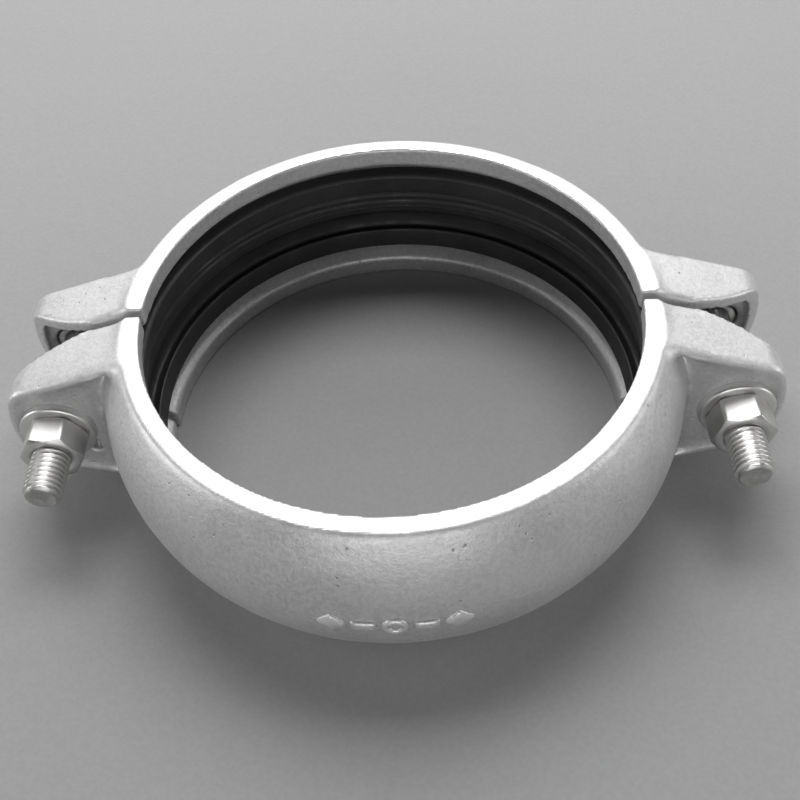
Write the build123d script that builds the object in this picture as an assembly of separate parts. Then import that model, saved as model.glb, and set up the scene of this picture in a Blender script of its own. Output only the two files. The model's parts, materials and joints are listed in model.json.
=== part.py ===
"""Two-bolt grooved coupling for 159 mm pipe: two cast housing halves, a rubber gasket, two bolt sets.

The origin is the centre of the ring. Z runs along the pipe, and the bolts run along Y: their heads sit on
the back half (+Y), and their nuts and washers on the front half (-Y). Millimetres.
"""
from build123d import *
import math
import os

# Pipe and keys
pipe_diameter = 159.0
groove_depth = 2.2            # depth of the groove rolled into the pipe
key_clearance = 0.4           # between the key and the bottom of the groove
key_width = 6.8               # of each key, along the pipe

# Housing ring
housing_width = 59.0          # over the two flat side faces
face_width = 5.6              # radial width of the flat side faces
shell_height = 16.3           # from the key out to the crown of the ring
shell_wall = 5.5
shoulder_height = 4.7         # of each sloped shoulder between a key and the gasket chamber
half_gap = 1.6                # from the middle plane to each half's parting face

# Ears
bolt_offset = 13.8            # from the crown of the ring to the bolt's axis
seat_margin = 0.3             # between the washer and the ear's raised ridge
ear_start = 2.3               # outside the key, where the sloped ear reaches the side face
ear_taper = 0.31              # fall of the ear's side for each millimetre outwards
ear_end_radius = 38.0
ear_corner_radius = 9.0
ear_wall = 4.2
plate_thickness = 5.0         # of the plate that the bolt goes through
seat_distance = 21.4          # from the middle plane to the seat of a washer or a bolt head
ridge_height = 1.3            # of the ear's raised edge over the seat
ridge_width = 2.6
ridge_round = 2.1
seat_lead = 0.6               # flat left on the ring's side of the washer
root_fall = 8.0               # how far the plate falls back where it meets the ring
root_bow = 1.1                # how far that fall is bowed out of a straight slope
rim_start = 1.5               # outside the crown of the ring, where the ear's open rim starts to rise
rim_start_angle = 14.0        # degrees
rim_radius = 58.0
window_width = 4.5            # of the small casting window at the root of one ear
window_height = 8.0
window_drop = 8.0             # of its middle, below the middle plane between the keys

# Bolts, nuts and washers
thread_diameter = 12.0
thread_clearance = 0.05       # radial, between the plain bolt and the plain bore of the nut
bolt_length = 70.0
bolt_tip_chamfer = 1.4
head_diameter = 24.0
head_height = 7.5
neck_length = 4.4             # of the oval neck that stops the bolt from turning
neck_extra = 4.0              # how much longer than wide the oval neck is
hole_clearance = 0.75         # radial, between bolt and ear
front_slot_extra = 4.0        # how much longer than wide the front half's bolt hole is
nut_across_flats = 18.0
nut_height = 10.0
right_nut_turn = 13.0         # degrees from having a flat on top
washer_diameter = 24.0
washer_clearance = 0.5        # radial, between washer and bolt
washer_thickness = 2.4

# Gasket
gasket_clearance = 0.15       # to the housing's chamber
gasket_side_gap = 0.7         # on each side, to the foot of the shoulder
back_relief = 2.6             # of the gasket's back at the shoulder's foot
back_bevel = 2.0
lip_offset = 0.9              # of the lips' sealing edge, outside the key
lip_thickness = 4.2
lip_round = 1.0
lip_undercut = 1.6
tip_round = 1.1
rib_width = 5.4               # of the rib on the middle of the gasket's inside
rib_depth = 3.6               # the rib's crest, outside the lips
groove_floor = 3.8            # of the groove between the rib and a lip
groove_slope = 1.2            # at each side of that floor
web_thickness = 4.2           # of the gasket's back, beside the rib

# Raised casting marks on the front half
mark_size = 8.4
mark_pitch = 8.8
mark_height = 1.1

# Worked out from the sizes above
key_radius = pipe_diameter / 2 - groove_depth + key_clearance
half_width = housing_width / 2
face_radius = key_radius + face_width
crown_radius = key_radius + shell_height
crown_centre = (crown_radius**2 - face_radius**2 - half_width**2) / (2 * (crown_radius - face_radius))
crown_arc = crown_radius - crown_centre
chamber_width = housing_width - 2 * (key_width + shoulder_height)
bolt_x = crown_radius + bolt_offset
ear_end = bolt_x + washer_diameter / 2 + seat_margin + ridge_width
ear_top_x = key_radius + ear_start
ridge_y = seat_distance + ridge_height
hole_radius = thread_diameter / 2 + hole_clearance
nut_y = seat_distance + washer_thickness
reach = 2 * ear_end           # larger than the whole part, for cutting tools


def section_arc(inset, z):
    """Radius at height z of the ring's section arc, drawn inset from the crown."""
    return crown_centre + math.sqrt((crown_arc - inset) ** 2 - z**2)


def revolved(outline):
    """A closed outline of (radius, height) edges, turned about the pipe's axis."""
    return revolve(Plane.XZ * make_face(outline), axis=Axis.Z)


def ring_outside(growth=0.0):
    """The ring with no chamber, as a barrel on a plain bore. growth moves its crown outwards."""
    side = Polyline((face_radius, half_width), (key_radius, half_width),
                    (key_radius, -half_width), (face_radius, -half_width))
    crown = ThreePointArc((face_radius, -half_width), (crown_radius + growth, 0), (face_radius, half_width))
    return revolved([side, crown])


def chamber():
    """The room inside the ring: the bore through the keys, the sloped shoulders and the gasket's seat."""
    step = half_width - key_width
    shoulder = chamber_width / 2
    shoulder_radius = section_arc(shell_wall, shoulder)
    top = Polyline((shoulder_radius, shoulder), (key_radius, step), (key_radius, half_width + 1),
                   (0, half_width + 1), (0, -half_width - 1), (key_radius, -half_width - 1),
                   (key_radius, -step), (shoulder_radius, -shoulder))
    seat = ThreePointArc((shoulder_radius, -shoulder), (crown_radius - shell_wall, 0),
                         (shoulder_radius, shoulder))
    return revolved([top, seat])


def ear_outline(inset, inner):
    """An ear seen along its bolt, inset from its true edge, from x = inner out to its rounded end."""
    slope = math.sqrt(1 + ear_taper**2)
    height = half_width + ear_taper * ear_top_x - inset * slope
    centre = ear_end - ear_end_radius
    radius = ear_end_radius - inset
    middle = (centre + height * ear_taper) / slope**2
    corner_x = middle + math.sqrt(middle**2 - (centre**2 + height**2 - radius**2) / slope**2)
    corner_z = height - ear_taper * corner_x
    inner_z = height - ear_taper * inner
    sides = Polyline((corner_x, corner_z), (inner, inner_z), (inner, -inner_z), (corner_x, -corner_z))
    end = ThreePointArc((corner_x, -corner_z), (ear_end - inset, 0), (corner_x, corner_z))
    face = Plane.XZ * make_face([sides, end])
    corners = face.vertices().sort_by(Axis.X)[-2:]
    return fillet(corners, max(ear_corner_radius - inset, 1.5))


def ear_plan():
    """The ear seen along the pipe: flat beside the ring, then an open rim that rises in an arc."""
    start_x = crown_radius + rim_start
    first = math.radians(rim_start_angle)
    span = (ear_end + 2 - start_x) / rim_radius + math.sin(first)
    last = math.asin(span)
    half = (first + last) / 2

    def point(angle):
        return (start_x + rim_radius * (math.sin(angle) - math.sin(first)),
                -half_gap - rim_radius * (math.cos(first) - math.cos(angle)))

    rim = ThreePointArc(point(first), point(half), point(last))
    rest = Polyline(point(last), (ear_end + 2, -ridge_y - 1), (key_radius, -ridge_y - 1),
                    (key_radius, -half_gap), point(first))
    return extrude(make_face([rim, rest]), half_width + 1, both=True)


def dish():
    """What is cut from the ear's face: a flat seat inside a raised ridge, falling back at the ring."""
    seat_start = bolt_x - washer_diameter / 2 - seat_lead
    root_x = seat_start - root_fall
    bow = root_bow / math.sqrt(2)
    bend = (seat_start - root_fall / 2 - bow, -seat_distance + root_fall / 2 - bow)
    fall = ThreePointArc((seat_start, -seat_distance), bend, (root_x, -seat_distance + root_fall))
    rest = Polyline((root_x, -seat_distance + root_fall), (key_radius, -seat_distance + root_fall),
                    (key_radius, -reach), (ear_end + 2, -reach), (ear_end + 2, -seat_distance),
                    (seat_start, -seat_distance))
    plan = extrude(make_face([fall, rest]), half_width, both=True)
    return plan & extrude(ear_outline(ridge_width, ear_top_x), ear_end)


def bolt_hole(extra):
    """A hole through an ear's plate, longer across the ear by extra."""
    slot = SlotOverall(2 * hole_radius + extra, 2 * hole_radius)
    return extrude(Plane.XZ * (Pos(bolt_x, 0) * slot), ridge_y + 1)


def ear(slot_extra):
    """The ear on the +X side of the front half: a hollow box, open towards the other half."""
    body = extrude(ear_outline(0, ear_top_x), ridge_y)
    front_edges = body.faces().sort_by(Axis.Y)[0].edges()
    front_edges = front_edges.filter_by(lambda edge: edge.center().X > ear_top_x + 1)
    body = fillet(front_edges, ridge_round)
    body = body & ear_plan()
    body -= dish()
    pocket_start = crown_radius + rim_start + 1
    body -= extrude(ear_outline(ear_wall, pocket_start), seat_distance - plate_thickness)
    return body - bolt_hole(slot_extra)


def housing_half(slot_extra):
    """The front half, -Y side: half the ring with an ear at each end."""
    one_ear = ear(slot_extra)
    body = ring_outside() + one_ear + mirror(one_ear, Plane.YZ)
    body -= chamber()
    keep = Pos(0, -half_gap - reach / 2, 0) * Box(2 * reach, reach, 2 * reach)
    return body & keep


def casting_marks():
    """A row of plain raised marks on the front of the ring: diamond, bar, round, bar, diamond."""
    diamond = Rot(0, 0, 45) * Rectangle(mark_size * 0.68, mark_size * 0.68)
    bar = RectangleRounded(mark_size * 0.8, mark_size * 0.34, mark_size * 0.16)
    disc = Circle(mark_size * 0.45) - Circle(mark_size * 0.2)
    shapes = [diamond, bar, disc, bar, diamond]
    middle = (len(shapes) - 1) / 2
    marks = Sketch() + [Pos((i - middle) * mark_pitch, 0) * shape for i, shape in enumerate(shapes)]
    strokes = extrude(Plane.XZ * marks, reach)
    return strokes & (ring_outside(mark_height) - ring_outside(-shell_wall / 2))


def casting_window():
    """The small opening at the root of the front half's left ear, between the plate and the ring."""
    x = -(crown_radius + rim_start + 1)
    corners = Polyline((x, -window_height / 2), (x - window_width, -window_height / 2),
                       (x - window_width / 3, window_height / 2), close=True)
    return extrude(Plane.XZ * (Pos(0, -window_drop) * make_face(corners)), reach)


def housing_front():
    """The front half, with its raised marks and the window in its left ear."""
    return housing_half(front_slot_extra) + casting_marks() - casting_window()


def housing_back():
    """The back half: the front half's shape turned about the pipe, with holes for the bolts' oval necks."""
    return Rot(0, 0, 180) * housing_half(neck_extra)


def gasket():
    """The rubber ring: two lips that seal on the pipe, a back that fills the chamber, a rib between them."""
    lip = key_radius + lip_offset
    tall = chamber_width / 2 - gasket_side_gap
    back = shell_wall + gasket_clearance
    back_edge = chamber_width / 2 - back_relief
    back_radius = section_arc(back, back_edge)
    groove_radius = crown_radius - back - web_thickness
    groove_end = rib_width / 2 + groove_slope + groove_floor
    tip = groove_end + groove_slope

    def side(sign):
        return [(back_radius, sign * back_edge), (back_radius - back_bevel, sign * tall),
                (lip + lip_round, sign * tall), (lip, sign * (tall - lip_round)),
                (lip + tip_round / 2, sign * (tip + tip_round / 2)), (lip + tip_round, sign * tip),
                (lip + lip_thickness, sign * (tip + lip_undercut)), (groove_radius, sign * groove_end),
                (groove_radius, sign * (rib_width / 2 + groove_slope)), (lip + rib_depth, sign * rib_width / 2)]

    inside = Polyline(*side(1), *reversed(side(-1)))
    outside = ThreePointArc(side(-1)[0], (crown_radius - back, 0), side(1)[0])
    return revolved([inside, outside])


def bolt(x):
    """A track bolt: round button head on the back half, oval neck in its hole, plain 12 mm shank."""
    shank = Pos(0, -bolt_length / 2, 0) * Rot(90, 0, 0) * Cylinder(thread_diameter / 2, bolt_length)
    tip = shank.faces().sort_by(Axis.Y)[0].edges()
    shank = chamfer(tip, bolt_tip_chamfer)
    neck = extrude(Plane.XZ * SlotOverall(thread_diameter + neck_extra, thread_diameter), neck_length)
    head = Pos(0, head_height / 2, 0) * Rot(90, 0, 0) * Cylinder(head_diameter / 2, head_height)
    crown = head.faces().sort_by(Axis.Y)[-1].edges()
    head = fillet(crown, head_height * 0.6)
    return Pos(x, seat_distance, 0) * (shank + neck + head)


def washer(x):
    """A flat washer on the front half's seat."""
    ring = Circle(washer_diameter / 2) - Circle(thread_diameter / 2 + washer_clearance)
    return Pos(x, -seat_distance, 0) * extrude(Plane.XZ * ring, washer_thickness)


def nut(x, turn):
    """A hexagon nut with chamfered corners, its bore a little wider than the bolt."""
    corner_radius = nut_across_flats / math.sqrt(3)
    hexagon = Plane.XZ * (Rot(0, 0, turn) * RegularPolygon(corner_radius, 6))
    prism = extrude(hexagon, nut_height)
    flare = (corner_radius - nut_across_flats / 2) * math.tan(math.radians(30))
    cone = Cylinder(corner_radius + 0.01, nut_height)
    cone = chamfer(cone.edges(), length=flare, length2=(corner_radius - nut_across_flats / 2 + 0.01))
    cone = Pos(0, -nut_height / 2, 0) * Rot(90, 0, 0) * cone
    bore = Pos(0, -nut_height / 2, 0) * Rot(90, 0, 0) * Cylinder(
        thread_diameter / 2 + thread_clearance, nut_height + 1)
    return Pos(x, -nut_y, 0) * ((prism & cone) - bore)


def build():
    """Every piece of the coupling, by name."""
    return {
        "housing_front": housing_front(),
        "housing_back": housing_back(),
        "gasket": gasket(),
        "bolt_left": bolt(-bolt_x),
        "bolt_right": bolt(bolt_x),
        "washer_left": washer(-bolt_x),
        "washer_right": washer(bolt_x),
        "nut_left": nut(-bolt_x, 0),
        "nut_right": nut(bolt_x, right_nut_turn),
    }


os.makedirs("parts", exist_ok=True)
for name, piece in build().items():
    export_step(piece, f"parts/{name}.step")
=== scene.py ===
"""A two-bolt grooved coupling for 159 mm pipe, lying on its side face on a pale studio floor.

Metres, in the frame of the CAD model: the ring's centre is the origin, Z runs along the pipe, and the bolts
run along Y with their nuts at -Y.
"""
import json
import math

import bmesh
import bpy
import numpy as np
from mathutils import Matrix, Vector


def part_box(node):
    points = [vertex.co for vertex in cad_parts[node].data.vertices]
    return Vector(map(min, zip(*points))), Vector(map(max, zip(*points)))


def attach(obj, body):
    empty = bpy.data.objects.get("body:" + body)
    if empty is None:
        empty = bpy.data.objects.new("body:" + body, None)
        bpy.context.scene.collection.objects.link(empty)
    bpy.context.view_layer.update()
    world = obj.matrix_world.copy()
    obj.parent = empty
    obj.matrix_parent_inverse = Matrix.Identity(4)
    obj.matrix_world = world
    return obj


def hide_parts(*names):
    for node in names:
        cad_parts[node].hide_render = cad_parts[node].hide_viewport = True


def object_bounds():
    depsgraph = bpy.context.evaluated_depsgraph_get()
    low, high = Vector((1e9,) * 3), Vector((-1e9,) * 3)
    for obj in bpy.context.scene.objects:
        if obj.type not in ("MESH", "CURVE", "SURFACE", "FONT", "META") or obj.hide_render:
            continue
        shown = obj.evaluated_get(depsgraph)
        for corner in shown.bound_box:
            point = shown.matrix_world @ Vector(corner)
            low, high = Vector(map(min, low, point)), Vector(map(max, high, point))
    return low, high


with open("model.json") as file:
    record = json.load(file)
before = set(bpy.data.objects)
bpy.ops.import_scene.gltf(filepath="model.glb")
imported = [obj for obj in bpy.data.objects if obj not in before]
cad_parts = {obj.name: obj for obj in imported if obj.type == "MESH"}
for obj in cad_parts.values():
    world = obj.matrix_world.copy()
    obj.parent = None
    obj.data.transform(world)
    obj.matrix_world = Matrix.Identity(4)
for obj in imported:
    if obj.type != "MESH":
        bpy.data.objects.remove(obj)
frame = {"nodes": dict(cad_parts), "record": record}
cad_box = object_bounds()


# ---- Camera -------------------------------------------------------------------------------------------
# Handheld over the front of the ring, looking down on it and tipped a little to one side.

camera_place = (0.0114, -0.2222, 0.2514)
camera_turn = math.radians(2.64)
camera_down = math.radians(50.38)
camera_tip = math.radians(-3.92)

camera = bpy.data.objects.new("camera", bpy.data.cameras.new("camera"))
camera.data.lens = 45.5
camera.data.clip_start = 0.01
camera.matrix_world = (Matrix.Translation(camera_place) @ Matrix.Rotation(camera_turn, 4, "Z")
                       @ Matrix.Rotation(math.pi / 2 - camera_down, 4, "X")
                       @ Matrix.Rotation(camera_tip, 4, "Z"))
bpy.context.scene.collection.objects.link(camera)
bpy.context.scene.camera = camera


# ---- Housings -----------------------------------------------------------------------------------------
# Two halves of the ring, investment cast in stainless steel with their ears and blasted all over with fine
# grit. Only the side faces over the keys were ground afterwards, so they are flat, bright and streaked.

mm = 0.001
join_distance = 0.001 * mm       # vertices this near to each other are one
skin_size = 0.85 * mm            # of the even mesh that the castings get
skin_band = 1.0 * mm             # below the crown, what still counts as the outside
smoothing_steps = (0.5, -0.53) * 6
fillet_passes = 26               # more passes give rounder inner corners
edge_passes = 14                 # and rounder outer edges beside the side faces
edge_zone = 5 * mm               # from a side face, the height of those edges
ground_depth = 0.3 * mm          # skin this near to a side face was ground away with it
swell = 0.055 * mm               # how far the as-cast skin rolls in and out
wave_lengths = (8 * mm, 30 * mm)
washer_room = 12.7 * mm          # around a bolt, where the seat stays flat for its washer
mark_room = 24 * mm              # to each side of the front's middle, where its raised marks are

key_radius = frame["record"]["mounts"][0]["dims"]["r_mm"] * mm
half_width = cad_box[1].z
chamber_wall = 5.65 * mm         # of steel from the gasket's back to the crown
face_width = 5.6 * mm            # of the ground side faces, from the key outwards
crown_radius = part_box("gasket")[1].x + chamber_wall
face_radius = key_radius + face_width
bolt_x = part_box("washer_right")[0].x / 2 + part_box("washer_right")[1].x / 2
section_centre = ((crown_radius**2 - face_radius**2 - half_width**2)
                  / (2 * (crown_radius - face_radius)))


def crown_at(height):
    """Outer radius of the ring at a height: an arc from one side face over the crown to the other, which is
    section_centre + sqrt(arc^2 - height^2)."""
    arc = crown_radius - section_centre
    return section_centre + np.sqrt(np.maximum(arc**2 - height**2, 0))


def even_copy(name, node):
    """A piece of the node's shape with an even mesh: its loose triangles are joined and then remeshed."""
    joined = bmesh.new()
    joined.from_mesh(node.data)
    bmesh.ops.remove_doubles(joined, verts=joined.verts, dist=join_distance)
    mesh = bpy.data.meshes.new(name)
    joined.to_mesh(mesh)
    joined.free()
    piece = bpy.data.objects.new(name, mesh)
    bpy.context.scene.collection.objects.link(piece)
    remesh = piece.modifiers.new("even mesh", "REMESH")
    remesh.mode = "VOXEL"
    remesh.voxel_size = skin_size
    even = bpy.data.meshes.new_from_object(piece.evaluated_get(bpy.context.evaluated_depsgraph_get()))
    piece.modifiers.clear()
    piece.data = even
    even.name = name
    return piece


def vertex_values(mesh, what):
    """The vertices' places ("co") or normals ("normal") as an array of rows."""
    values = np.empty(len(mesh.vertices) * 3)
    mesh.vertices.foreach_get(what, values)
    return values.reshape(-1, 3)


def edge_ends(mesh):
    """The two vertex numbers of each edge."""
    ends = np.empty(len(mesh.edges) * 2, np.int64)
    mesh.edges.foreach_get("vertices", ends)
    return ends.reshape(-1, 2)


def neighbour_mean(values, ends):
    """For each vertex, the mean of the values at the other ends of its edges."""
    near = np.concatenate([ends[:, 0], ends[:, 1]])
    far = np.concatenate([ends[:, 1], ends[:, 0]])
    count = np.bincount(near, minlength=len(values))
    sums = [np.bincount(near, weights=column[far], minlength=len(values)) for column in values.T]
    return np.stack(sums, 1) / np.maximum(count, 1)[:, None]


def along(rows, other):
    """The dot product of each pair of rows, as a column."""
    return np.sum(rows * other, 1, keepdims=True)


def point_attribute(mesh, name, values):
    """Stores one number for each vertex, for a material to read."""
    stored = mesh.attributes.get(name) or mesh.attributes.new(name, "FLOAT", "POINT")
    stored.data.foreach_set("value", values.astype(np.float32))


def mark_corners(mesh, sharpness):
    """Stores how much each vertex stands out of its neighbours (edge) or lies in among them (cavity). The
    materials paint a highlight from the first and shade from the second.
    """
    points, ends = vertex_values(mesh, "co"), edge_ends(mesh)
    normals = vertex_values(mesh, "normal")
    lengths = np.linalg.norm(points[ends[:, 0]] - points[ends[:, 1]], axis=1)
    bend = along(neighbour_mean(points, ends) - points, normals) / lengths.mean()
    bend = (bend + 2 * neighbour_mean(bend, ends)) / 3
    point_attribute(mesh, "edge", np.clip(-bend[:, 0] * sharpness, 0, 1))
    point_attribute(mesh, "cavity", np.clip(bend[:, 0] * sharpness, 0, 1))


def waves(points, lengths, seed, count=30, headroom=1.6):
    """Smooth noise from about -1 to 1: the sum of sin(2 pi direction . point / length + phase) over plane
    waves in random directions, with lengths in the given range."""
    chance = np.random.default_rng(seed)
    directions = chance.normal(size=(count, 3))
    directions /= np.linalg.norm(directions, axis=1, keepdims=True)
    numbers = 2 * np.pi / chance.uniform(*lengths, count)
    phases = chance.uniform(0, 2 * np.pi, count)
    total = np.sin(points @ (directions * numbers[:, None]).T + phases).sum(1)
    return total / math.sqrt(count) / headroom


def cast_skin(piece, seed):
    """Turns an even copy of a half into a casting. The mesh is smoothed back and forth so that it keeps its
    volume, its inner corners are filled, and its skin rolls a little. The skin beside the side faces is
    lifted and then cut at their planes, as if ground. The raised marks are shaved off, because they are made
    as pads of their own."""
    mesh = piece.data
    points, ends = vertex_values(mesh, "co"), edge_ends(mesh)
    marked = (np.abs(points[:, 0]) < mark_room) & (points[:, 1] < 0)
    above = np.hypot(points[:, 0], points[:, 1]) / crown_at(points[:, 2])
    points[:, :2] /= np.where(marked, np.maximum(above, 1), 1)[:, None]
    for step in smoothing_steps:
        points += step * (neighbour_mean(points, ends) - points)
    mesh.vertices.foreach_set("co", points.ravel())
    mesh.update()
    normals = vertex_values(mesh, "normal")
    radius = np.hypot(points[:, 0], points[:, 1])
    outside = radius > crown_at(points[:, 2]) - skin_band
    near_bolt = np.hypot(np.abs(points[:, 0]) - bolt_x, points[:, 2]) < washer_room
    fill = (outside & ~near_bolt)[:, None]
    for _ in range(fillet_passes):
        hollow = along(neighbour_mean(points, ends) - points, normals)
        points += fill * 0.5 * np.maximum(hollow, 0) * normals
    beside_face = (np.abs(points[:, 2]) > half_width - edge_zone) & (radius > face_radius - skin_band)
    soft_edge = (outside & beside_face)[:, None]
    for _ in range(edge_passes):
        points += 0.5 * soft_edge * (neighbour_mean(points, ends) - points)
    depth = half_width - np.abs(points[:, 2])
    as_cast = ((depth > ground_depth) & ~near_bolt)[:, None]
    points += as_cast * swell * waves(points, wave_lengths, seed)[:, None] * normals
    lift = ground_depth * np.clip((edge_zone - depth) / (edge_zone - 2 * ground_depth), 0, 1)
    points[:, 2] = np.sign(points[:, 2]) * np.minimum(np.abs(points[:, 2]) + lift, half_width)
    points = np.clip(points, np.array(cad_box[0]), np.array(cad_box[1]))
    mesh.vertices.foreach_set("co", points.ravel())
    mesh.shade_smooth()
    mesh.update()
    point_attribute(mesh, "ground", np.clip(2 - depth / ground_depth, 0, 1))
    mark_corners(mesh, sharpness=3.0)


def add(tree, kind, inputs=None, **settings):
    """A new shader node with its settings, its inputs set to values or joined to other nodes' outputs."""
    node = tree.nodes.new(kind)
    for name, value in settings.items():
        setattr(node, name, value)
    for name, value in (inputs or {}).items():
        if isinstance(value, bpy.types.NodeSocket):
            tree.links.new(value, node.inputs[name])
        else:
            node.inputs[name].default_value = value
    return node


def math_node(tree, operation, first, second, clamp=False):
    """The output of a Math node on two values or sockets."""
    return add(tree, "ShaderNodeMath", {0: first, 1: second}, operation=operation, use_clamp=clamp).outputs[0]


def times(tree, first, second):
    """The product of two values or sockets."""
    return math_node(tree, "MULTIPLY", first, second)


def spread(tree, value, low, high, to_low=0.0, to_high=1.0):
    """The value's range from low to high, stretched smoothly to another range."""
    return add(tree, "ShaderNodeMapRange",
               {"Value": value, "From Min": low, "From Max": high, "To Min": to_low, "To Max": to_high},
               interpolation_type="SMOOTHSTEP").outputs["Result"]


def noise(tree, place, scale, detail=2.0, roughness=0.5):
    """A noise texture's value at a place."""
    return add(tree, "ShaderNodeTexNoise", {"Vector": place, "Scale": scale, "Detail": detail,
                                            "Roughness": roughness}).outputs["Fac"]


def new_group(name, inputs, outputs):
    """An empty shader node group: its tree, its input node and its output node."""
    group = bpy.data.node_groups.new(name, "ShaderNodeTree")
    for in_out, sockets in (("INPUT", inputs), ("OUTPUT", outputs)):
        for socket, kind in sockets.items():
            group.interface.new_socket(socket, in_out=in_out, socket_type="NodeSocket" + kind)
    return group, group.nodes.new("NodeGroupInput"), group.nodes.new("NodeGroupOutput")


def blast_grain_group():
    """Grit-blasted skin: a fine grain of small overlapping craters, a coarser orange peel and rare pits,
    which are the middles of a few cells of a Voronoi pattern. Scales are in cells for each metre."""
    grain_scale, peel_scale, pit_scale = 1900, 700, 620
    grain_height, peel_height, pit_depth = 0.5, 0.7, 1.2
    pit_rim, pit_floor = 0.34, 0.08
    group, given, result = new_group(
        "blast grain", {"Position": "Vector", "Pit Share": "Float"},
        {"Height": "Float", "Speckle": "Float", "Mottle": "Float", "Pits": "Float"})
    place = given.outputs["Position"]
    fine = noise(group, place, grain_scale, detail=3, roughness=0.65)
    peel = noise(group, place, peel_scale, detail=3, roughness=0.6)
    cells = add(group, "ShaderNodeTexVoronoi",
                {"Vector": place, "Scale": pit_scale, "Randomness": 1.0}).outputs
    cell_number = add(group, "ShaderNodeSeparateColor", {"Color": cells["Color"]}).outputs["Red"]
    rare = math_node(group, "LESS_THAN", cell_number, given.outputs["Pit Share"])
    pit = times(group, spread(group, cells["Distance"], pit_rim, pit_floor), rare)
    mixed = math_node(group, "ADD", times(group, fine, grain_height), times(group, peel, peel_height))
    height = math_node(group, "SUBTRACT", mixed, times(group, pit, pit_depth))
    group.links.new(height, result.inputs["Height"])
    group.links.new(spread(group, fine, 0.3, 0.7), result.inputs["Speckle"])
    group.links.new(spread(group, peel, 0.34, 0.66), result.inputs["Mottle"])
    group.links.new(pit, result.inputs["Pits"])
    return group


def handling_group():
    """Use and storage on bare metal: broad stains, soft finger smudges and a few straight scratches."""
    smudge_scale = 95
    scratch_turn, scratch_scale = (0.4, 0.7, 0.5), (45, 1600, 1600)
    group, given, result = new_group("handling marks", {"Position": "Vector", "Stain Scale": "Float"},
                                     {"Stain": "Float", "Smudge": "Float", "Scratch": "Float"})
    place = given.outputs["Position"]
    clouds = noise(group, place, given.outputs["Stain Scale"], detail=5, roughness=0.6)
    smears = noise(group, place, smudge_scale, detail=3)
    drawn_out = add(group, "ShaderNodeMapping", {"Vector": place, "Rotation": scratch_turn,
                                                 "Scale": scratch_scale}).outputs["Vector"]
    lines = noise(group, drawn_out, 1.0, detail=1)
    group.links.new(spread(group, clouds, 0.35, 0.68), result.inputs["Stain"])
    group.links.new(spread(group, smears, 0.42, 0.66), result.inputs["Smudge"])
    group.links.new(spread(group, lines, 0.70, 0.78), result.inputs["Scratch"])
    return group


def corner_wearing_and_shading_group():
    """Worn outer corners that carry a painted highlight, and painted shade in inner corners and hollows: the
    mesh's edge and cavity values, broken up by noise.
    """
    patch_scale, least = 260, 0.35
    group, given, result = new_group("corner wearing and shading", {"Position": "Vector"},
                                     {"Rubbed Highlight": "Float", "Shade And Dullness": "Float"})
    patches = noise(group, given.outputs["Position"], patch_scale, detail=4, roughness=0.6)
    rough = spread(group, patches, 0.3, 0.7, least, 1.0)
    # edge drives the painted highlight on outer corners; cavity drives the painted shade in hollows, and on a
    # bolt also its dull sawn end
    for attribute, socket in (("edge", "Rubbed Highlight"), ("cavity", "Shade And Dullness")):
        value = add(group, "ShaderNodeAttribute", attribute_name=attribute).outputs["Fac"]
        group.links.new(math_node(group, "MULTIPLY", value, rough, clamp=True), result.inputs[socket])
    return group


blast_grain = blast_grain_group()
handling = handling_group()
corner_wearing_and_shading = corner_wearing_and_shading_group()


def material_start(name):
    """A new material: its tree, its Principled shader and the Object coordinates."""
    material = bpy.data.materials.new(name)
    material.use_nodes = True
    tree = material.node_tree
    place = add(tree, "ShaderNodeTexCoord").outputs["Object"]
    return material, tree, tree.nodes["Principled BSDF"], place


def blended(tree, share, first, second):
    """A colour between two colours or sockets, by a share from 0 to 1."""
    mix = tree.nodes.new("ShaderNodeMix")
    mix.data_type = "RGBA"
    for socket, value in ((mix.inputs[0], share), (mix.inputs[6], first), (mix.inputs[7], second)):
        if isinstance(value, bpy.types.NodeSocket):
            tree.links.new(value, socket)
        else:
            socket.default_value = value
    return mix.outputs[2]


def layered(tree, colour, mask, strength, over):
    """A colour with another laid over it where a mask is 1, at a strength from 0 to 1."""
    return blended(tree, times(tree, mask, strength), colour, over)


def grey(level, warmth=0.0):
    """A nearly neutral colour, a little warmer for a positive warmth."""
    return (level * (1 + warmth), level, level * (1 - warmth), 1)


def bump(tree, height, depth, under=None):
    """A bumped normal from a height of 0 to 1 that stands for a depth in metres."""
    inputs = {"Height": height, "Distance": depth, "Strength": 1.0}
    if under is not None:
        inputs["Normal"] = under
    return add(tree, "ShaderNodeBump", inputs).outputs["Normal"]


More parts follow.
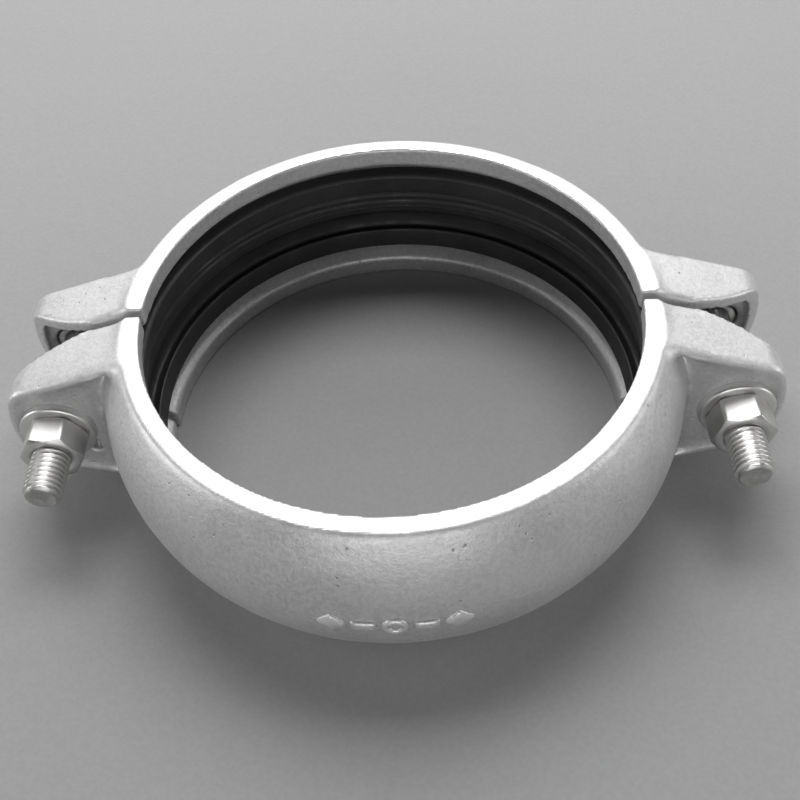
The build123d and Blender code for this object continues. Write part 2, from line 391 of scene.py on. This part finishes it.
def cast_steel_material():
    """Blasted stainless casting: pale satin grey with stains and dark pits, painted shade in its hollows and
    a painted highlight on its worn corners, and on the ground side faces brighter metal with fine streaks
    across the ring."""
    material, tree, shader, place = material_start("blasted cast steel")
    grain = add(tree, "ShaderNodeGroup", {"Position": place, "Pit Share": 0.035}, node_tree=blast_grain)
    marks = add(tree, "ShaderNodeGroup", {"Position": place, "Stain Scale": 28.0}, node_tree=handling)
    wear_and_shading = add(tree, "ShaderNodeGroup", {"Position": place}, node_tree=corner_wearing_and_shading)
    ground = add(tree, "ShaderNodeAttribute", attribute_name="ground").outputs["Fac"]

    stained, clean, peel, sparkle = grey(0.45, 0.004), grey(0.54), grey(0.66), grey(0.70)
    pitted, shade_and_dull_grey, polish_and_highlight_grey = grey(0.22, 0.02), grey(0.24, 0.02), grey(0.80)
    colour = blended(tree, marks.outputs["Stain"], stained, clean)
    colour = layered(tree, colour, grain.outputs["Mottle"], 0.60, peel)
    colour = layered(tree, colour, grain.outputs["Speckle"], 0.40, sparkle)
    colour = layered(tree, colour, grain.outputs["Pits"], 0.55, pitted)
    # painted shade darkens the hollows, and a painted highlight lightens the worn outer corners
    colour = layered(tree, colour, wear_and_shading.outputs["Shade And Dullness"], 0.65, shade_and_dull_grey)
    colour = layered(tree, colour, wear_and_shading.outputs["Rubbed Highlight"], 0.8, polish_and_highlight_grey)

    streaks_round, streaks_out = 420.0, 160.0
    ground_dark, ground_bright = grey(0.52), grey(0.68)
    axes = add(tree, "ShaderNodeSeparateXYZ", {"Vector": place}).outputs
    flat = add(tree, "ShaderNodeCombineXYZ", {"X": axes["X"], "Y": axes["Y"]}).outputs["Vector"]
    spoke = add(tree, "ShaderNodeVectorMath", {0: flat}, operation="NORMALIZE").outputs["Vector"]
    radius = add(tree, "ShaderNodeVectorMath", {0: flat}, operation="LENGTH").outputs["Value"]
    across = add(tree, "ShaderNodeVectorMath", {0: spoke, 1: (streaks_round,) * 3},
                 operation="MULTIPLY").outputs["Vector"]
    outwards = add(tree, "ShaderNodeCombineXYZ", {"Z": times(tree, radius, streaks_out)}).outputs["Vector"]
    streak_place = add(tree, "ShaderNodeVectorMath", {0: across, 1: outwards},
                       operation="ADD").outputs["Vector"]
    streaks = noise(tree, streak_place, 1.0, detail=4, roughness=0.7)
    ground_colour = blended(tree, spread(tree, streaks, 0.35, 0.7), ground_dark, ground_bright)
    tree.links.new(blended(tree, ground, colour, ground_colour), shader.inputs["Base Color"])

    cast_rough = spread(tree, marks.outputs["Smudge"], 0, 1, 0.48, 0.42)
    cast_rough = math_node(tree, "SUBTRACT", cast_rough, times(tree, wear_and_shading.outputs["Rubbed Highlight"], 0.1))
    ground_rough = spread(tree, streaks, 0.3, 0.7, 0.40, 0.30)
    rough = add(tree, "ShaderNodeMix", {0: ground, 2: cast_rough, 3: ground_rough})
    tree.links.new(rough.outputs[0], shader.inputs["Roughness"])

    grain_depth, streak_depth = 0.18 * mm, 0.02 * mm
    satin = 0.65                 # a blasted skin scatters more light than bare metal
    as_cast = math_node(tree, "SUBTRACT", 1.0, ground)
    cast_normal = bump(tree, times(tree, grain.outputs["Height"], as_cast), grain_depth)
    normal = bump(tree, times(tree, streaks, ground), streak_depth, cast_normal)
    tree.links.new(normal, shader.inputs["Normal"])
    shader.inputs["Metallic"].default_value = satin
    return material


cast_steel = cast_steel_material()
for side, seed in (("front", 3), ("back", 8)):
    half = even_copy(f"housing_{side}_casting", frame["nodes"][f"housing_{side}"])
    cast_skin(half, seed)
    half.data.materials.clear()
    half.data.materials.append(cast_steel)
    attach(half, f"{side}_half")
    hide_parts(f"housing_{side}")


# ---- Casting marks ------------------------------------------------------------------------------------
# A row of plain raised marks on the crown of the front half, cast with it: diamond, bar, ring, bar, diamond.
# Each is a low, rounded pad that is sunk into the skin, and its top is a little smoother and carries a
# painted highlight.

mark_size = 8.4 * mm
mark_pitch = 8.8 * mm            # from the middle of one mark to the middle of the next
mark_height = 1.08 * mm
mark_root = -1.0 * mm            # how far under the skin a pad begins
mark_columns = 64
crease = math.radians(40)        # faces that meet at more than this have a sharp edge between them


def surface(name, points, wrap_rows=False):
    """A closed piece from a grid of points, rows by columns. The last column joins the first, and so may the
    last row. Points that coincide, as at a pole, become one."""
    rows, columns = points.shape[:2]
    index = np.arange(rows * columns).reshape(rows, columns)
    index = np.hstack([index, index[:, :1]])
    if wrap_rows:
        index = np.vstack([index, index[:1]])
    faces = np.stack([index[:-1, :-1], index[1:, :-1], index[1:, 1:], index[:-1, 1:]], -1).reshape(-1, 4)
    mesh = bpy.data.meshes.new(name)
    mesh.from_pydata(points.reshape(-1, 3).tolist(), [], faces.tolist())
    shell = bmesh.new()
    shell.from_mesh(mesh)
    bmesh.ops.remove_doubles(shell, verts=shell.verts, dist=join_distance)
    bmesh.ops.recalc_face_normals(shell, faces=shell.faces)
    shell.to_mesh(mesh)
    shell.free()
    mesh.shade_smooth()
    mesh.set_sharp_from_angle(angle=crease)
    piece = bpy.data.objects.new(name, mesh)
    bpy.context.scene.collection.objects.link(piece)
    return piece


def on_crown(across, along_pipe, height):
    """Places on the front of the ring's crown, at a height over it."""
    radius = crown_at(along_pipe) + height
    return np.stack([across, -np.sqrt(radius**2 - across**2), along_pipe + 0 * radius], -1)


def pad_points(middle, wide, tall, power):
    """A raised pad: rows of one outline at growing shares and heights. The outline is a superellipse,
    |x / wide|^power + |z / tall|^power = 1, a diamond for a power of 1, an ellipse for 2 and a bar with round
    corners for 4."""
    around = np.linspace(0, 2 * np.pi, mark_columns, endpoint=False)
    reach = (np.abs(np.cos(around))**power + np.abs(np.sin(around))**power) ** (-1 / power)
    share, height = np.array([(0, mark_root), (1.12, mark_root), (1.06, 0), (1.0, 0.40 * mark_height),
                              (0.87, 0.70 * mark_height), (0.66, 0.91 * mark_height),
                              (0.35, mark_height), (0, mark_height)]).T[:, :, None]
    outline = share * reach
    return on_crown(middle + wide * outline * np.cos(around), tall * outline * np.sin(around), height)


def ring_mark_points(inner, outer):
    """A raised ring: a half-round section, radius against height, carried round the mark's middle."""
    around = np.linspace(0, 2 * np.pi, mark_columns, endpoint=False)
    bend = np.linspace(0, np.pi, 13)
    radius = np.concatenate([[inner, outer], (inner + outer) / 2 + (outer - inner) / 2 * np.cos(bend)])
    height = np.concatenate([[mark_root, mark_root], mark_height * np.sin(bend)])
    return on_crown(radius[:, None] * np.cos(around), radius[:, None] * np.sin(around), height[:, None])


ring_inner, ring_outer = mark_size * 0.2, mark_size * 0.45
bar_reach, bar_rise, bar_power = mark_size * 0.42, mark_size * 0.22, 4
diamond_reach, diamond_power = mark_size * 0.48, 1.15
sides = (("left", -1), ("right", 1))
marks = [surface("casting_mark_ring", ring_mark_points(ring_inner, ring_outer), wrap_rows=True)]
for side, sign in sides:
    marks += [surface(f"casting_mark_bar_{side}",
                      pad_points(sign * mark_pitch, bar_reach, bar_rise, bar_power)),
              surface(f"casting_mark_diamond_{side}",
                      pad_points(sign * 2 * mark_pitch, diamond_reach, diamond_reach, diamond_power))]
for mark in marks:
    mark_corners(mark.data, sharpness=2.0)
    places = vertex_values(mark.data, "co")
    # the edge value over a mark becomes its height, so the material paints a highlight along its top
    risen = (np.hypot(places[:, 0], places[:, 1]) - crown_at(places[:, 2])) / mark_height
    point_attribute(mark.data, "edge", np.clip(2 * risen, 0, 1))
    mark.data.materials.append(cast_steel)
    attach(mark, "front_half")


# ---- Gasket -------------------------------------------------------------------------------------------
# One moulded ring of black rubber. Its two lips lean inwards on the pipe ends, a rib stands between them, and
# its back fills the housings' chamber. The mould leaves a fine seam round the middle of the rib.

gasket_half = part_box("gasket")[1].z
gasket_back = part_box("gasket")[1].x
lip_radius = key_radius + 0.9 * mm
rib_half = 2.7 * mm              # half of the rib's width
rib_drop = 3.6 * mm              # from the lips' radius out to the rib's
seam_height = 0.12 * mm
tip_height = rib_half + 6.2 * mm  # of the lips' tips, over the middle plane
back_edge = 15.4 * mm            # half of the back's width
groove_radius = gasket_back - 4.2 * mm
gasket_columns = 360


def cut_corners(outline, passes):
    """A closed outline with its corners rounded: each pass puts two points for one, a quarter in from it."""
    for _ in range(passes):
        after = np.roll(outline, -1, axis=0)
        outline = np.stack([0.75 * outline + 0.25 * after, 0.25 * outline + 0.75 * after], 1).reshape(-1, 2)
    return outline


def gasket_points():
    """The section, radius against height, carried round the pipe's axis. Its upper half is mirrored for the
    lower half, and its back follows the arc of the housings' chamber."""
    heights = np.linspace(-back_edge, back_edge, 9)
    back = np.stack([crown_at(heights) - (crown_radius - gasket_back) - 0.02 * mm, heights], 1)
    shoulder = [(back[-1, 0] - 2.0 * mm, gasket_half - 0.2 * mm), (lip_radius + 1.0 * mm, gasket_half)]
    lip = [(lip_radius, gasket_half - 1.0 * mm), (lip_radius, gasket_half - 1.6 * mm),
           (lip_radius + 0.5 * mm, tip_height + 0.6 * mm), (lip_radius + 1.1 * mm, tip_height),
           (lip_radius + 1.5 * mm, tip_height + 0.1 * mm), (lip_radius + 4.2 * mm, tip_height + 1.6 * mm)]
    groove = [(groove_radius, tip_height - 1.2 * mm), (groove_radius, rib_half + 1.2 * mm)]
    rib = [(lip_radius + rib_drop, rib_half), (lip_radius + rib_drop, 0.35 * mm),
           (lip_radius + rib_drop - seam_height, 0.1 * mm)]
    upper = np.array(shoulder + lip + groove + rib)
    lower = upper[::-1] * (1, -1)
    section = cut_corners(np.concatenate([back, upper, lower]), passes=2)
    angle = np.linspace(0, 2 * np.pi, gasket_columns, endpoint=False)
    radius, height = section[:, :1], section[:, 1:]
    return np.stack([radius * np.cos(angle), radius * np.sin(angle), height + 0 * angle], -1)


def rubber_material():
    """Moulded black rubber: nearly matte, a faint bloom, fine dust and small flow marks round the ring."""
    material, tree, shader, place = material_start("black rubber")
    marks = add(tree, "ShaderNodeGroup", {"Position": place, "Stain Scale": 40.0}, node_tree=handling)
    wear_and_shading = add(tree, "ShaderNodeGroup", {"Position": place}, node_tree=corner_wearing_and_shading)
    black, bloomed, rubbed_highlight_grey, dusty = grey(0.010), grey(0.020, 0.02), grey(0.07), grey(0.12, 0.05)
    dust_scale, grain_scale, flow_scale = 1400, 1500, (60, 60, 900)
    dust = spread(tree, noise(tree, place, dust_scale), 0.66, 0.74)
    colour = blended(tree, marks.outputs["Stain"], black, bloomed)
    # the lighter grey on convex edges is a painted highlight
    colour = layered(tree, colour, wear_and_shading.outputs["Rubbed Highlight"], 0.5, rubbed_highlight_grey)
    colour = layered(tree, colour, dust, 0.5, dusty)
    tree.links.new(colour, shader.inputs["Base Color"])
    tree.links.new(spread(tree, marks.outputs["Smudge"], 0, 1, 0.62, 0.46), shader.inputs["Roughness"])
    flow = add(tree, "ShaderNodeMapping", {"Vector": place, "Scale": flow_scale}).outputs["Vector"]
    height = math_node(tree, "ADD", noise(tree, place, grain_scale), noise(tree, flow, 1.0))
    tree.links.new(bump(tree, height, 0.02 * mm), shader.inputs["Normal"])
    return material


gasket = surface("gasket_ring", gasket_points(), wrap_rows=True)
# the edge values set here give the lips' edges their painted highlight
mark_corners(gasket.data, sharpness=4.0)
gasket.data.materials.append(rubber_material())
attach(gasket, "back_half")
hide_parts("gasket")


# ---- Bolts --------------------------------------------------------------------------------------------
# Track bolts, cold headed from bright stainless bar: a button head, an oval neck that stops the bolt from
# turning in its ear, a plain shank and a rolled M12 thread with a chamfered, sawn end.

thread_radius = 6.0 * mm
pitch = 1.75 * mm
thread_depth = 1.05 * mm
thread_run = 55 * mm             # length of the thread from the bolt's end
thread_rows = 10                 # of points for each pitch
crest_share, flank_share = 0.12, 0.66     # of half a pitch
seat_y = -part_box("washer_left")[1].y
head_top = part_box("bolt_left")[1].y
bolt_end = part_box("bolt_left")[0].y
head_radius = (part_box("bolt_left")[1].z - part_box("bolt_left")[0].z) / 2
head_corner = 4.5 * mm           # radius of the button's rounded edge
head_dome = 0.3 * mm             # how much higher its middle is than the start of that edge
neck_length = 4.4 * mm
neck_extra = 2.0 * mm            # how much wider than the shank the neck is, on each side
point_radius = thread_radius - 1.4 * mm
sawn_depth = 0.31 * mm           # from the end, what the saw left dull
sawn_dullness = 0.7
bolt_columns = 96


def threaded(y, angle):
    """Radius of the thread's surface: thread_radius - thread_depth * (3 f^2 - 2 f^3), where f runs from 0 on
    the crest to 1 in the root. The wave slips along the bolt by one pitch in a turn."""
    phase = np.abs(2 * np.mod(y / pitch - angle / (2 * np.pi), 1) - 1)
    flank = np.clip((phase - crest_share) / flank_share, 0, 1)
    return thread_radius - thread_depth * flank**2 * (3 - 2 * flank)


def bolt_points(x):
    """Rows run from the middle of the head to the middle of the end, each with a place along the bolt, a
    radius and shares of neck and thread. The neck is two half circles joined by flats."""
    around = np.linspace(0, 2 * np.pi, bolt_columns, endpoint=False)
    bend = np.linspace(0, np.pi / 2, 10)
    head = [(head_top - head_dome * share**2, share * (head_radius - head_corner), 0, 0)
            for share in np.linspace(0, 1, 8)]
    head += [(head_top - head_dome - (head_corner - head_dome) * (1 - math.cos(a)),
              head_radius - head_corner + head_corner * math.sin(a), 0, 0) for a in bend[1:]]
    head += [(seat_y + 0.5 * mm, head_radius, 0, 0), (seat_y + 0.1 * mm, head_radius - 0.15 * mm, 0, 0),
             (seat_y, head_radius - 0.5 * mm, 0, 0), (seat_y, thread_radius + 2.4 * mm, 0.4, 0)]
    neck_end = seat_y - neck_length
    neck = [(seat_y, thread_radius, 1, 0), (neck_end + 0.4 * mm, thread_radius, 1, 0),
            (neck_end, thread_radius - 0.3 * mm, 0.9, 0),
            (neck_end - 0.1 * mm, thread_radius - 0.15 * mm, 0, 0)]
    thread_start = bolt_end + thread_run
    lengths = np.arange(thread_start, bolt_end + 0.02 * mm, -pitch / thread_rows)
    fade = np.clip((thread_start - lengths) / pitch, 0, 1)
    thread = [(y, thread_radius - 0.15 * mm * (1 - f), 0, f) for y, f in zip(lengths, fade)]
    end = [(bolt_end, point_radius, 0, 0), (bolt_end + 0.02 * mm, point_radius - 0.5 * mm, 0, 0),
           (bolt_end + 0.25 * mm, point_radius * 0.35, 0, 0), (bolt_end + 0.3 * mm, 0, 0, 0)]
    y, radius, neckness, threadness = np.array(head + neck + thread + end).T[:, :, None]
    wide, deep = np.abs(np.sin(around)), np.abs(np.cos(around))
    rounded = neck_extra * wide + np.sqrt(thread_radius**2 - (neck_extra * deep)**2)
    on_flat = thread_radius * wide <= neck_extra * deep
    oval = np.where(on_flat, thread_radius / np.maximum(deep, 1e-9), rounded)
    reach = radius + neckness * (oval - thread_radius)
    reach = reach + threadness * (threaded(y, around) - thread_radius)
    chamfer = point_radius + np.maximum(y - bolt_end, 0)
    reach = np.minimum(reach, chamfer)
    return np.stack([x + reach * np.sin(around), y + 0 * around, reach * np.cos(around)], -1)


def dull_sawn_end(mesh):
    """Stores a high cavity value over the bolt's sawn end, so that the material makes it dull."""
    cavity = mesh.attributes["cavity"].data
    values = np.empty(len(cavity), np.float32)
    cavity.foreach_get("value", values)
    sawn = vertex_values(mesh, "co")[:, 1] < bolt_end + sawn_depth
    point_attribute(mesh, "cavity", np.where(sawn, sawn_dullness, values))


def bright_steel_material(name, level, roughness, lines):
    """Bare machined or rolled stainless steel: bright, stained a little, with fine tool lines round the
    bolt's axis, painted shade in the thread roots, a duller sawn end and worn corners that carry a painted
    highlight."""
    material, tree, shader, place = material_start(name)
    marks = add(tree, "ShaderNodeGroup", {"Position": place, "Stain Scale": 90.0}, node_tree=handling)
    wear_and_shading = add(tree, "ShaderNodeGroup", {"Position": place}, node_tree=corner_wearing_and_shading)
    grain = add(tree, "ShaderNodeGroup", {"Position": place, "Pit Share": 0.05}, node_tree=blast_grain)
    stained, clean = grey(level * 0.86, 0.01), grey(level, 0.012)
    shade_and_dull_grey, polish_and_highlight_grey, scratched = grey(0.13, 0.03), grey(0.9), grey(0.85)
    colour = blended(tree, marks.outputs["Stain"], stained, clean)
    # painted shade in the thread roots (and the darker sawn end), and a painted highlight on worn corners
    colour = layered(tree, colour, wear_and_shading.outputs["Shade And Dullness"], 0.8, shade_and_dull_grey)
    colour = layered(tree, colour, wear_and_shading.outputs["Rubbed Highlight"], 0.6, polish_and_highlight_grey)
    colour = layered(tree, colour, marks.outputs["Scratch"], 0.5, scratched)
    tree.links.new(colour, shader.inputs["Base Color"])
    tree.links.new(spread(tree, marks.outputs["Smudge"], 0, 1, roughness + 0.08, roughness - 0.04),
                   shader.inputs["Roughness"])
    drawn = add(tree, "ShaderNodeMapping", {"Vector": place, "Scale": lines}).outputs["Vector"]
    line_depth = 0.014 * mm
    height = math_node(tree, "ADD", noise(tree, drawn, 1.0, detail=3),
                       times(tree, grain.outputs["Height"], 0.5))
    tree.links.new(bump(tree, height, line_depth), shader.inputs["Normal"])
    shader.inputs["Metallic"].default_value = 1.0
    return material


bolt_steel = bright_steel_material("rolled bolt steel", level=0.74, roughness=0.34, lines=(250, 2600, 250))
for side, sign in sides:
    bolt = surface(f"bolt_{side}_threaded", bolt_points(sign * bolt_x))
    # these edge and cavity values give the thread crests a painted highlight and its roots painted shade
    mark_corners(bolt.data, sharpness=1.6)
    dull_sawn_end(bolt.data)
    bolt.data.materials.append(bolt_steel)
    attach(bolt, f"bolt_{side}")
    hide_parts(f"bolt_{side}")


# ---- Nuts ---------------------------------------------------------------------------------------------
# Plain M12 hexagon nuts, forged and tapped, chamfered at 30 degrees on both faces and countersunk at both
# ends of the thread.

across_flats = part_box("nut_left")[1].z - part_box("nut_left")[0].z
nut_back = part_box("nut_left")[1].y
nut_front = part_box("nut_left")[0].y
nut_face_share = 0.95            # of the across-flats size, over the round face inside the chamfer
corner_wearing = 0.25 * mm       # taken off each of the six corners
chamfer_zone = 1.1 * mm          # along the bolt from a face, where the cone cuts the corners
countersink_radius = 6.7 * mm
countersink_depth = 0.7 * mm
back_row, front_row = 7.4 * mm, 7.6 * mm  # radius of one more row of points on each face
face_dish = 0.04 * mm            # how far the front face sinks in there
thread_play = 0.15 * mm          # between the nut's thread and the bolt's
nut_turns = {"left": 0, "right": -13}     # degrees
nut_columns = 144


def nut_points(x, turn):
    """A closed loop of rows carried round the bolt: out along the back face, forward over the six flats, in
    along the front face and back through the thread. A flat is across_flats / 2 / cos(angle off its middle)
    from the axis, and a cone cuts the corners at each end."""
    around = np.linspace(0, 2 * np.pi, nut_columns, endpoint=False) + math.radians(turn)
    off_flat = np.mod(around - math.radians(turn) + np.pi / 6, np.pi / 3) - np.pi / 6
    flats = across_flats / 2 / np.cos(off_flat)
    flats = np.minimum(flats, across_flats / math.sqrt(3) - corner_wearing)[None, :]
    tall = nut_back - nut_front
    face = across_flats / 2 * nut_face_share
    near = np.linspace(0, chamfer_zone, 9)
    middle = np.linspace(chamfer_zone, tall - chamfer_zone, 6)[1:-1]
    steps = np.concatenate([near, middle, tall - near[::-1]])
    cone = face + np.minimum(steps, tall - steps) * math.sqrt(3)
    outside = np.minimum(flats, cone[:, None])
    bore_steps = np.arange(tall - countersink_depth, countersink_depth, -pitch / thread_rows)
    bore = threaded(nut_back - bore_steps[:, None], around[None, :]) + thread_play
    ring = np.ones((1, nut_columns))
    reach = np.concatenate([back_row * ring, outside, front_row * ring, countersink_radius * ring, bore,
                            countersink_radius * ring])
    depth = np.concatenate([[0], steps, [tall - face_dish, tall], bore_steps, [0]])
    y = nut_back - depth[:, None] + 0 * around
    return np.stack([x + reach * np.sin(around), y, reach * np.cos(around)], -1)


nut_steel = bright_steel_material("nut steel", level=0.70, roughness=0.32, lines=(900, 300, 900))
for side, sign in sides:
    nut = surface(f"nut_{side}_hexagon", nut_points(sign * bolt_x, nut_turns[side]), wrap_rows=True)
    mark_corners(nut.data, sharpness=1.6)
    nut.data.materials.append(nut_steel)
    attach(nut, f"nut_{side}")
    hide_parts(f"nut_{side}")


# ---- Washers ------------------------------------------------------------------------------------------
# Flat washers stamped from stainless sheet: the punch rounds the outer corner of the face that it enters and
# leaves the other one sharp.

washer_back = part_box("washer_left")[1].y
washer_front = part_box("washer_left")[0].y
washer_outer = (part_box("washer_left")[1].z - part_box("washer_left")[0].z) / 2
washer_bore = thread_radius + 0.5 * mm
stamped_round = 0.9 * mm         # radius of the outer corner where the punch went in
washer_columns = 128


def washer_points(x):
    """A closed section, radius against place along the bolt, carried round the bolt. The outer corner of the
    front face is a quarter circle."""
    around = np.linspace(0, 2 * np.pi, washer_columns, endpoint=False)
    curve = [(washer_outer - stamped_round * (1 - math.cos(a)),
              washer_front + stamped_round * (1 - math.sin(a))) for a in np.linspace(0, np.pi / 2, 6)]
    inner = [(washer_bore + 0.25 * mm, washer_front + 0.02 * mm), (washer_bore, washer_front + 0.3 * mm),
             (washer_bore, washer_back - 0.1 * mm), (washer_bore + 0.1 * mm, washer_back)]
    outer = [(washer_outer - 0.12 * mm, washer_back), (washer_outer, washer_back - 0.12 * mm)]
    radius, y = np.array(curve + inner + outer).T[:, :, None]
    return np.stack([x + radius * np.sin(around), y + 0 * around, radius * np.cos(around)], -1)


washer_steel = bright_steel_material("stamped washer steel", level=0.80, roughness=0.34,
                                     lines=(500, 500, 500))
for side, sign in sides:
    washer = surface(f"washer_{side}_stamped", washer_points(sign * bolt_x), wrap_rows=True)
    mark_corners(washer.data, sharpness=2.0)
    washer.data.materials.append(washer_steel)
    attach(washer, f"washer_{side}")
    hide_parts(f"washer_{side}")


# ---- Studio -------------------------------------------------------------------------------------------
# A sheet of plain card under the coupling. A large soft box hangs over and behind it with a wide panel below
# the box, so that the side faces and ear tops are the brightest, and three weaker panels stand in front and
# at the sides.

def soft_box(name, place, size, power):
    """A rectangular lamp at place that points at the middle of the ring."""
    lamp = bpy.data.lights.new(name, "AREA")
    lamp.shape = "RECTANGLE"
    lamp.size, lamp.size_y = size
    lamp.energy = power
    box = bpy.data.objects.new(name, lamp)
    to_ring = np.subtract((0, 0, 0), place)
    right = np.cross(to_ring, (0, 0, 1))
    right /= np.linalg.norm(right)
    back = -to_ring / np.linalg.norm(to_ring)
    turned = Matrix(np.stack([right, np.cross(back, right), back], 1).tolist()).to_4x4()
    box.matrix_world = Matrix.Translation(place) @ turned
    bpy.context.scene.collection.objects.link(box)


floor_reach = 3.0                # from the middle to each edge of the card
floor_height = cad_box[0].z
floor_mesh = bpy.data.meshes.new("floor")
floor_mesh.from_pydata([(x * floor_reach, y * floor_reach, floor_height)
                        for x, y in ((-1, -1), (1, -1), (1, 1), (-1, 1))], [], [(0, 1, 2, 3)])
floor = bpy.data.objects.new("floor", floor_mesh)
bpy.context.scene.collection.objects.link(floor)
card_scale = 700                 # of its fine mottling, in spots for each metre
card_dark, card_light = grey(0.27), grey(0.289)
card, card_tree, card_shader, card_place = material_start("pale card")
card_shader.inputs["Roughness"].default_value = 0.9
card_shade = spread(card_tree, noise(card_tree, card_place, card_scale, detail=3), 0.3, 0.7)
card_tree.links.new(blended(card_tree, card_shade, card_dark, card_light), card_shader.inputs["Base Color"])
floor_mesh.materials.append(card)

soft_box("soft box overhead", (0.0, 0.50, 0.95), (0.9, 0.5), power=12)
soft_box("back panel", (0.0, 0.95, 0.60), (2.4, 0.45), power=10)
soft_box("front panel", (0.0, -1.25, 0.42), (1.2, 0.42), power=6)
soft_box("left panel", (-1.15, -0.10, 0.36), (0.9, 0.45), power=5)
soft_box("right panel", (1.15, -0.10, 0.36), (0.9, 0.45), power=4)

room_colour, room_light = (0.95, 0.97, 1.0, 1), 0.05
world = bpy.data.worlds.new("studio")
world.use_nodes = True
background = world.node_tree.nodes["Background"]
background.inputs["Color"].default_value = room_colour
background.inputs["Strength"].default_value = room_light
bpy.context.scene.world = world
bpy.context.scene.view_settings.view_transform = "Standard"
